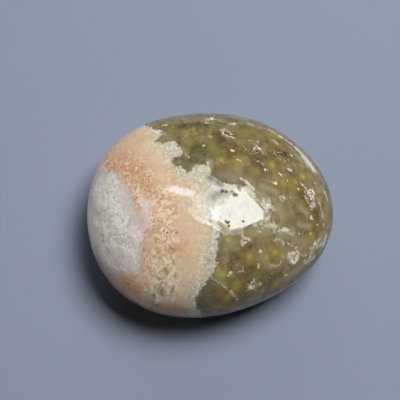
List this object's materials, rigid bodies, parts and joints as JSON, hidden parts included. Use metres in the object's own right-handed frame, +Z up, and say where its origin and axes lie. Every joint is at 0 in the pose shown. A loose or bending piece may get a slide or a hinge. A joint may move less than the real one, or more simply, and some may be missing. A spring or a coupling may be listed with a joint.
{
  "type": "polished jasper palm stone",
  "caption": "Egg-shaped, domed and polished pebble of orbicular jasper that rests on a small flat foot; a hand stone or display piece.",
  "frame": {"origin": "on the flat foot, under the middle of the stone's length and width", "axes": "+X along the stone's length towards its narrow end, +Z up out of the crown"},
  "size_m": [0.061, 0.0514, 0.0261],
  "materials": {
    "jasper": "polished, banded: grey-white quartz, peach and olive green"
  },
  "bodies": {
    "root": {"stone": "jasper"}
  },
  "joints": []
}
